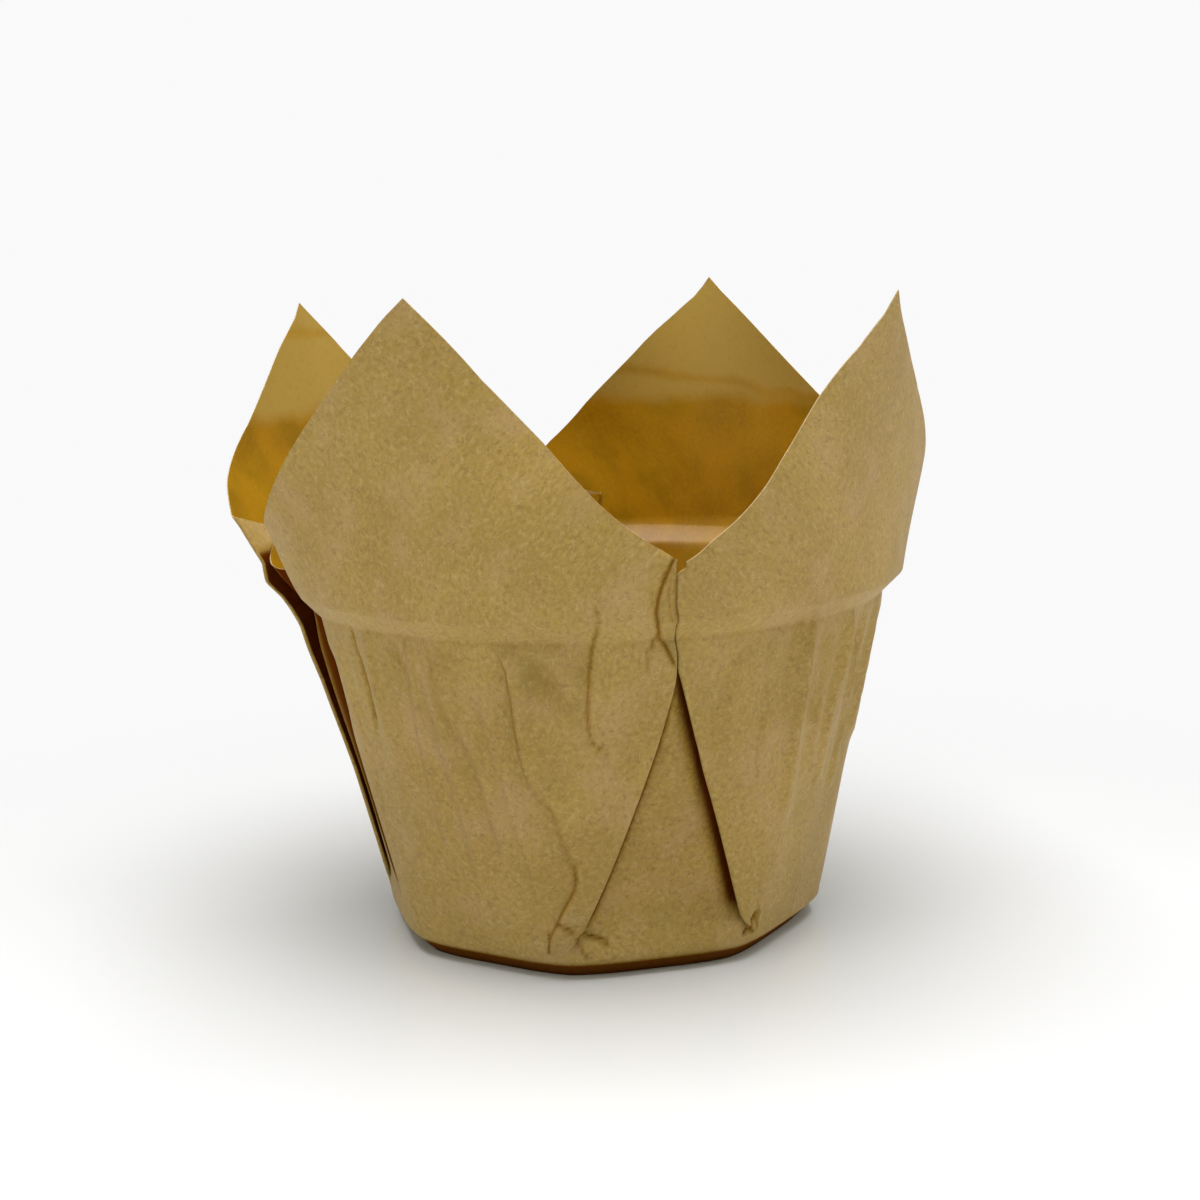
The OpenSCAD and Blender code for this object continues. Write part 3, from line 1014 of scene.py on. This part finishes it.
@dataclass(frozen=True)
class GlazedFace(Face):
    """The glazed, greaseproof inside of the paper. It takes no shade from the mesh."""

    name: str = "glazed_inside"
    deep: Colour = (0.25, 0.12, 0.001)
    light: Colour = (0.40, 0.21, 0.004)
    mottles: tuple[Spots, ...] = (
        Spots("Olive", 0.7, (0.235, 0.128, 0.0)),
        Spots("Blush", 0.5, (0.42, 0.2, 0.002)),
    )
    hairs: tuple[Spots, ...] = (
        Spots("Dark Hairs", 0.15, (0.16, 0.09, 0.02)),
        Spots("Pale Hairs", 0.06, (0.48, 0.33, 0.12)),
    )
    roughness: Pair = (0.36, 0.42)
    specular: float = 0.09
    tooth: float = 0.1
    bounce: Colour = (0.40, 0.17, 0.01)
    grain_share: float = 0.25
    shade_share: float = 0.0
    strip_z: Triple = (37.4, 39.0, 42.0)
    strip_gloss: float = 0.42
    # Painted light: the paler colour of the petals' upper parts, where they catch the light.
    top: Colour = (0.385, 0.25, 0.046)
    painted_light_z: Pair = (56.8, 59.8)
    painted_light_wander: float = 1.6
    streak_z: float = 64.0
    streak_h: float = 1.1
    streak_lean: float = 0.16
    streak_share: float = 0.55

    def gloss(self, g: Graph) -> Socket | float:
        """Glossier where the paper was pressed hard, at the ledge."""
        low, middle, high = (z * MM for z in self.strip_z)
        z = g.axes()["Z"]
        strip = g.math("MULTIPLY", g.ramp(z, low, middle), g.ramp(z, middle, high, (1, 0)))
        return g.ramp(strip, 0, 1, (self.specular, self.strip_gloss))

    def painted_light(self, g: Graph, colour: Socket, out: Outputs) -> Socket:
        """Painted light: paler toward the petals' tips where they catch the light, but for one darker
        streak.
        """
        axes = g.axes()
        height = g.math("ADD", axes["Z"], g.math("MULTIPLY", out["Clouds"], self.painted_light_wander * MM))
        high = g.ramp(height, *(z * MM for z in self.painted_light_z))
        lean = g.math("MULTIPLY", axes["X"], self.streak_lean)
        off = g.math("SUBTRACT", g.math("ADD", height, lean), self.streak_z * MM)
        streak = g.ramp(g.math("ABSOLUTE", off), 0.0, self.streak_h * MM, (self.streak_share, 0))
        return g.blend(g.math("MULTIPLY", high, g.math("SUBTRACT", 1.0, streak)), colour, self.top)


@dataclass(frozen=True)
class CutEdge(Face):
    """The cut edge of the sheet, a little paler."""

    name: str = "cut_edge"
    deep: Colour = (0.46, 0.34, 0.16)
    light: Colour = (0.56, 0.43, 0.22)
    mottles: tuple[Spots, ...] = ()
    hairs: tuple[Spots, ...] = (
        Spots("Dark Hairs", 0.2, (0.2, 0.13, 0.05)),
        Spots("Pale Hairs", 0.3, (0.6, 0.48, 0.28)),
    )
    roughness: Pair = (0.75, 0.85)
    specular: float = 0.3
    tooth: float = 0.3
    bounce: Colour = (0.44, 0.23, 0.04)


@dataclass(frozen=True)
class SoftBox:
    """A square lamp that looks at a point. Metres and watts."""

    name: str
    place: Triple
    size: float
    power: float
    aim: Triple = (0.0, 0.0, 0.03)

    def add(self) -> None:
        """Puts the lamp in the studio."""
        data = bpy.data.lights.new(self.name, "AREA")
        data.shape = "SQUARE"
        data.size = self.size
        data.energy = self.power
        lamp = bpy.data.objects.new(self.name, data)
        bpy.context.scene.collection.objects.link(lamp)
        lamp.location = self.place
        toward = Vector(self.aim) - Vector(self.place)
        lamp.rotation_euler = toward.to_track_quat("-Z", "Y").to_euler()


@dataclass(frozen=True)
class Studio:
    """White floor and background, and the soft lamps."""

    floor_half: float = 3.0
    floor_white: float = 0.77
    near_r: float = 0.055
    far_r: float = 0.13
    floor_rough: float = 0.25
    background: float = 0.95
    fill: float = 0.16
    boxes: tuple[SoftBox, ...] = (
        SoftBox("top_box", (0.0, 0.0, 0.8), 0.8, 9.9),
        SoftBox("top_front_box", (-0.12, -0.49, 0.7), 0.6, 1.2),
        SoftBox("right_box", (0.71, -0.68, 0.35), 0.4, 0.9),
        SoftBox("far_right_box", (0.9, -0.12, 0.5), 0.5, 1.2),
        SoftBox("left_box", (-0.88, -0.25, 0.45), 0.5, 1.4),
    )

    def build(self) -> None:
        """Builds floor, world and lamps."""
        bpy.ops.object.select_all(action="DESELECT")
        bpy.ops.mesh.primitive_plane_add(size=2 * self.floor_half, location=(0, 0, 0))
        floor = bpy.context.active_object
        floor.name = "floor"
        floor.data.materials.append(self.floor_material())
        self.world()
        for box in self.boxes:
            box.add()

    def floor_material(self) -> bpy.types.Material:
        """Glossy white that fades to the background's white with distance."""
        made = bpy.data.materials.new("white_floor")
        made.use_nodes = True
        g = Graph(made.node_tree)
        far = g.add("ShaderNodeVectorMath", operation="LENGTH")
        g.feed(far.inputs[0], g.place())
        skin = g.add("ShaderNodeBsdfPrincipled")
        g.put(skin, Base_Color=(self.floor_white,) * 3 + (1,), Roughness=self.floor_rough)
        glow = g.put(g.add("ShaderNodeEmission"), Color=(1, 1, 1, 1), Strength=self.background)
        share = g.math(
            "MULTIPLY",
            g.ramp(far.outputs["Value"], self.near_r, self.far_r),
            g.add("ShaderNodeLightPath").outputs["Is Camera Ray"],
        )
        blend = g.add("ShaderNodeMixShader")
        for socket, value in zip(blend.inputs, (share, skin.outputs["BSDF"], glow.outputs["Emission"])):
            g.feed(socket, value)
        g.put(g.add("ShaderNodeOutputMaterial"), Surface=blend.outputs["Shader"])
        return made

    def world(self) -> None:
        """White to the camera, dimmer as a light."""
        world = bpy.data.worlds.new("studio")
        bpy.context.scene.world = world
        world.use_nodes = True
        g = Graph(world.node_tree)
        seen = g.add("ShaderNodeLightPath").outputs["Is Camera Ray"]
        strength = g.ramp(seen, 0, 1, (self.fill, self.background))
        sky = g.put(g.add("ShaderNodeBackground"), Color=(1, 1, 1, 1), Strength=strength)
        g.put(g.add("ShaderNodeOutputWorld"), Surface=sky.outputs["Background"])


@dataclass(frozen=True)
class PhotoCamera:
    """The photograph's view. Millimetres and degrees."""

    distance: float = 235.8
    height: float = 79.2
    pleat_turn: float = 13.7
    aside: float = 0.2
    yaw: float = 0.21
    pitch: float = 10.15
    roll: float = -1.62
    lens: float = 62.13
    sensor: float = 36.0
    near: float = 10.0

    @staticmethod
    def turned(degrees: float, axis: str) -> Matrix:
        """A turn about an axis."""
        return Matrix.Rotation(math.radians(degrees), 4, axis)

    def add(self) -> None:
        """Puts the camera in the studio and makes it the scene's own."""
        data = bpy.data.cameras.new("photo_camera")
        data.lens = self.lens
        data.sensor_width = self.sensor
        data.clip_start = self.near * MM
        camera = bpy.data.objects.new("photo_camera", data)
        bpy.context.scene.collection.objects.link(camera)
        aside = Vector((-self.aside, -self.distance, self.height)) * MM
        place = self.turned(-self.pleat_turn, "Z") @ aside
        level = self.turned(-self.pleat_turn - self.yaw, "Z")
        look = level @ self.turned(90 - self.pitch, "X") @ self.turned(self.roll, "Z")
        camera.matrix_world = Matrix.Translation(place) @ look
        bpy.context.scene.camera = camera


PLEATS = (
    BoxPleat(
        Pleat.FRONT,
        cols=(24, 98, 60),
        feet=(9.6, 10.3),
        bows=(1.35, 0.95),
        shade_reach=(0.6, 1.7),
        seam_shift=(
            (26, 0), (60.2, 0.5), (61.7, 0.5), (63, 0.2), (64.6, 0), (66.6, -0.12), (68.8, -0.6),
            (76, -0.7),
        ),
        widens=(
            ((73, 0), (74.5, 0.5), (79, 0.4), (85, 0.45), (91, -0.25), (99, 0)),
            (
                (72, 0), (72.6, -1.2), (73.6, -0.9), (75.2, 0), (80, 0), (82.6, 0.15), (88, -0.25),
                (93, -1.2), (99, -0.7),
            ),
        ),
    ),
    BoxPleat(
        Pleat.RIGHT,
        cols=(6, 40, 20),
        feet=(9.72, 9.72),
        widens=(
            ((78, 0), (83.5, 1.2), (88.5, 1.4), (95.8, -0.4)),
            ((77, 0), (83, -0.27), (95, -0.33)),
        ),
    ),
    BoxPleat(
        Pleat.BACK,
        cols=(5, 20, 20),
        feet=(9.72, 9.72),
        widens=(
            ((73, 0), (77.2, 1.9), (83.2, 1.6), (88.3, 0), (93.6, -0.8)),
            ((73, 0), (80, -2), (91, -3.3), (94.8, -2.2), (98.5, -0.6)),
        ),
    ),
    BoxPleat(
        Pleat.LEFT,
        cols=(10, 20, 44),
        feet=(6.5, 7.3),
        bows=(0.0, 0.0),
        widens=(
            ((76, 0), (79, 0.8), (85, -0.9), (93, 0), (98.5, -0.7)),
            ((76, 0), (78.6, 0.4), (83.3, 1.35), (88.9, 1.9), (93.9, 1.8), (96.6, 1.2)),
        ),
        rear_lift=(
            (26, 0), (42, 0.2), (53, 0.8), (60, 1.7), (63.5, 2.8), (66, 2.6), (69, 1.1), (74, 0.4),
            (99, 0),
        ),
        front_tuck=1.0,
        shade_reach=(0.5, 8.0),
        shade_peak=1.0,
        shade_power=6.0,
    ),
)

# The wrinkles: path, rise, left width and right width, then what is particular to each.
# The front left wall: the imprint of the fold behind it, and the folds that run down to it.
IMPRINT = (
    Wrinkle(
        (
            (-13.2, 41.6), (-13.4, 40.2), (-14.4, 37.8), (-15.2, 34.4), (-15.5, 31.2), (-15.6, 29),
            (-14.6, 27.5), (-12.4, 26.3), (-11.2, 25.6),
        ),
        -0.25, 0.25, 0.3, section=Section.SHARP, fade=1.6, line=(0.62, 0.22, 0),
    ),
    Wrinkle(
        ((-13.2, 41.6), (-14.4, 37.8), (-15.2, 34.4), (-15.6, 29), (-14.6, 27.5), (-12.4, 26.3)),
        0.5, 0.3, 4.5,
    ),
    Wrinkle(
        ((-15.8, 41.4), (-14.9, 41.0), (-14.0, 41.3)),
        -0.3, 0.25, 0.3, fade=0.4, line=(0.62, 0.22, 0),
    ),
    Wrinkle(
        ((-13.9, 42.8), (-13.3, 42.0), (-12.9, 41.2)),
        -0.25, 0.25, 0.25, fade=0.4, line=(0.5, 0.22, 0),
    ),
)
FRONT_LEFT_FOLDS = (
    Wrinkle(
        (
            (-31.0, 38.6), (-30.4, 37), (-29.6, 35.7), (-29.4, 33.5), (-29.2, 31), (-29.2, 28.8),
            (-28.5, 26.5), (-27, 23.4), (-25.6, 21.9),
        ),
        0.9, 0.3, 1.7, line=(0.5, 0.26, -1),
    ),
    Wrinkle(
        ((-31.0, 37.6), (-30.2, 36), (-29.9, 33.5), (-29.7, 31), (-29.6, 28.8), (-29, 26.5)),
        -0.35, 1.3, 0.3,
    ),
    Wrinkle(
        (
            (-28.8, 28), (-27, 23.4), (-25.6, 21.9), (-22.8, 20), (-22, 18.4), (-20.4, 15.3),
            (-19.4, 13.6), (-18.9, 11.5),
        ),
        0.9, 0.5, 1.8, line=(0.34, 0.35, -1),
    ),
    Wrinkle(((-27.6, 38.8), (-23.2, 37.2), (-19.6, 34.6), (-16.2, 31.8)), 0.7, 0.7, 1.7),
    Wrinkle(
        ((-27.4, 38.0), (-23.8, 35.8), (-20.0, 32.6), (-16.2, 29.8)),
        -0.5, 1.5, 0.7, line=(0.12, 0.9, 0),
    ),
    Wrinkle(
        ((-42.5, 37.4), (-43.4, 34), (-42.6, 31), (-40.4, 28.1), (-38.4, 24.7), (-37.2, 20), (-35, 14)),
        0.65, 0.5, 1.7, line=(0.2, 0.6, -1),
    ),
    Wrinkle(
        ((-36.5, 34), (-34.6, 28), (-32.4, 22), (-29.5, 14), (-27.5, 9)),
        0.4, 0.6, 1.3, line=(0.15, 0.6, -1),
    ),
    Wrinkle(((-46.6, 35), (-45.6, 27), (-43.8, 18), (-42.5, 9)), 0.4, 0.5, 1.3, line=(0.16, 0.6, -1)),
    Wrinkle(
        ((-48.6, 39), (-50.2, 35), (-51.4, 30), (-51.6, 22), (-50.4, 14)),
        0.5, 0.35, 1.0, line=(0.2, 0.4, -1),
    ),
    Wrinkle(((-54.8, 39), (-53.2, 36), (-52.2, 33)), -0.4, 0.6, 0.5, line=(0.28, 0.5, 0)),
    Wrinkle(
        ((-64.8, 39.9), (-65.4, 36.4), (-64.6, 31.6), (-65.2, 26.4)),
        -0.28, 0.35, 0.5, line=(0.55, 0.26, 0),
    ),
    Wrinkle(((-60, 39), (-60.5, 33), (-60, 25)), 0.3, 0.8, 0.8),
)
# The flat band along the left fold's lower edge.
FOLD_BAND = Wrinkle(
    ((-19, 14.6), (-18.9, 12), (-19.6, 10.6), (-22.2, 8.4), (-25.2, 5.6), (-26.6, 3.6)),
    0.6, 0.3, 1.7, fade=1.2, line=(0.65, 0.26, -1),
)
# The crumples where the folds start, in all layers.
FOLD_FEET = (
    Wrinkle(((-25.8, 7.3), (-23, 6.6), (-20.2, 5.6)), -0.4, 0.35, 0.35, fade=0.8, line=(0.7, 0.33, 0)),
    Wrinkle(
        ((-20.4, 5.7), (-16.5, 5.0), (-13.6, 4.5), (-12.6, 3.4)),
        -0.4, 0.35, 0.45, fade=0.8, line=(0.75, 0.33, 0),
    ),
    Wrinkle(((-20.2, 5.8), (-18.8, 4.0), (-17.2, 2.6)), 0.45, 0.35, 0.4, fade=0.6, line=(0.65, 0.26, -1)),
    Wrinkle(((-26.2, 6.2), (-26.0, 4.4), (-26.8, 2.8)), 0.4, 0.4, 0.4, fade=0.6, line=(0.75, 0.26, -1)),
    Wrinkle(((26.6, 5.8), (24.8, 4.2), (22.4, 2.8)), -0.4, 0.35, 0.35, fade=0.6, line=(0.75, 0.33, 0)),
    Wrinkle(((22.4, 4.9), (24.4, 4.0), (26.8, 3.2)), 0.4, 0.35, 0.35, fade=0.6, line=(0.65, 0.26, -1)),
    Wrinkle(((27.6, 6.2), (27.0, 4.4), (27.6, 3.0)), 0.25, 0.4, 0.4, fade=0.6, line=(0.5, 0.26, -1)),
)
# The crumpled end of the left flap, between the notch and the point where the folds meet.
STRIP_EDGE = (
    (-1.2, 48.2), (-1.9, 47.2), (-2.8, 46), (-3.4, 44.9), (-4.0, 43.4), (-4.2, 41.8),
    (-3.7, 40.5), (-3.3, 39.6), (-2.9, 38.8), (-1.9, 38.0), (-0.8, 36.8), (0.4, 35.2),
)
FRONT_STRIP = (
    Wrinkle(STRIP_EDGE, 0.5, 2.0, 0.24, fade=1.0, line=(0.75, 0.24, 0)),
    Wrinkle(
        ((-2.2, 46.8), (-2.7, 44.2), (-2.5, 42.6), (-2.0, 41.2), (-1.2, 40)),
        0.45, 0.3, 0.3, fade=0.8, line=(0.35, 0.18, 1),
    ),
    Wrinkle(
        ((-1.0, 46.4), (-1.3, 44.2), (-1.0, 42.2), (-0.2, 40.2)),
        0.2, 0.3, 0.25, fade=0.8, line=(0.5, 0.16, 0),
    ),
    Wrinkle(((-4.8, 45.5), (-4.9, 42.8), (-4.3, 40.9)), -0.2, 0.25, 0.25, line=(0.3, 0.2, 0)),
    Wrinkle(((-3.2, 39.6), (-3.9, 38.6), (-4.1, 37.4)), -0.3, 0.25, 0.25, fade=0.5, line=(0.6, 0.22, 0)),
    Wrinkle(((-4.9, 38.4), (-4.7, 36.6), (-4.6, 34.6)), -0.2, 0.25, 0.25, fade=1.0, line=(0.35, 0.2, 0)),
)
# The right wall's long crimps, and the triangle between the folds, sunk beside the right one.
RIGHT_WALL = (
    Wrinkle(((25, 42.5), (27.8, 39.5), (29.4, 36.5), (30.0, 32), (30.4, 24), (30.4, 15)), 0.5, 0.8, 1.3),
    Wrinkle(((26.6, 41.5), (28.6, 38.6), (29.0, 35.4)), -0.35, 0.3, 0.35, line=(0.25, 0.35, 0)),
    Wrinkle(((20.8, 38.6), (20.3, 35.6), (20.4, 30), (20.8, 20)), 0.4, 0.35, 1.3),
    Wrinkle(((14.4, 37), (12.9, 34.4), (12.6, 30), (13.2, 22)), 0.34, 0.5, 1.2),
    Wrinkle(((31.6, 33.4), (34.2, 30.6), (37.4, 26), (40, 19)), 0.34, 0.6, 0.8),
    Wrinkle(((40.8, 38.8), (41.6, 34.7), (42, 28), (42.4, 18)), 0.5, 0.6, 1.1),
    Wrinkle(((49.2, 38.8), (50.2, 34), (51.4, 28), (52, 16)), 0.55, 0.35, 1.2),
    Wrinkle(((57, 38.8), (57.6, 33), (58, 22)), 0.45, 0.5, 1.1),
    Wrinkle(((66, 38.6), (66.4, 32), (66.8, 20)), 0.4, 0.5, 1.1),
    Wrinkle(((1.0, 34), (0.6, 30), (1.2, 24), (2.4, 15)), 0.3, 1.0, 0.6, layer=Layer.CENTRE),
    Wrinkle(((-2.4, 26), (-3.4, 19), (-5.0, 12)), 0.2, 1.2, 1.4, layer=Layer.CENTRE),
    Wrinkle(
        ((1.0, 35.2), (7, 26.5), (13.2, 17.5), (19.4, 8.5), (22.6, 4)),
        -0.7, 1.5, 3.0, layer=Layer.CENTRE, fade=3.5,
    ),
)
WRINKLES = (
    *IMPRINT,
    *FRONT_LEFT_FOLDS,
    FOLD_BAND,
    *(replace(w, layer=Layer.ALL) for w in FOLD_FEET),
    *(replace(w, half=(Pleat.FRONT, -1)) for w in FRONT_STRIP),
    *RIGHT_WALL,
)


def main() -> None:
    """Builds the cup, the studio and the camera."""
    logging.basicConfig(level=logging.INFO)
    bpy.context.scene.view_settings.view_transform = "Standard"
    PhotoCamera().add()
    piece = Liner(pleats=PLEATS, wrinkles=WRINKLES).build()
    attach(piece, "root")
    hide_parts("liner")
    LOG.info("%s: %d faces", piece.name, len(piece.data.polygons))
    Studio().build()


if __name__ == "__main__":
    main()
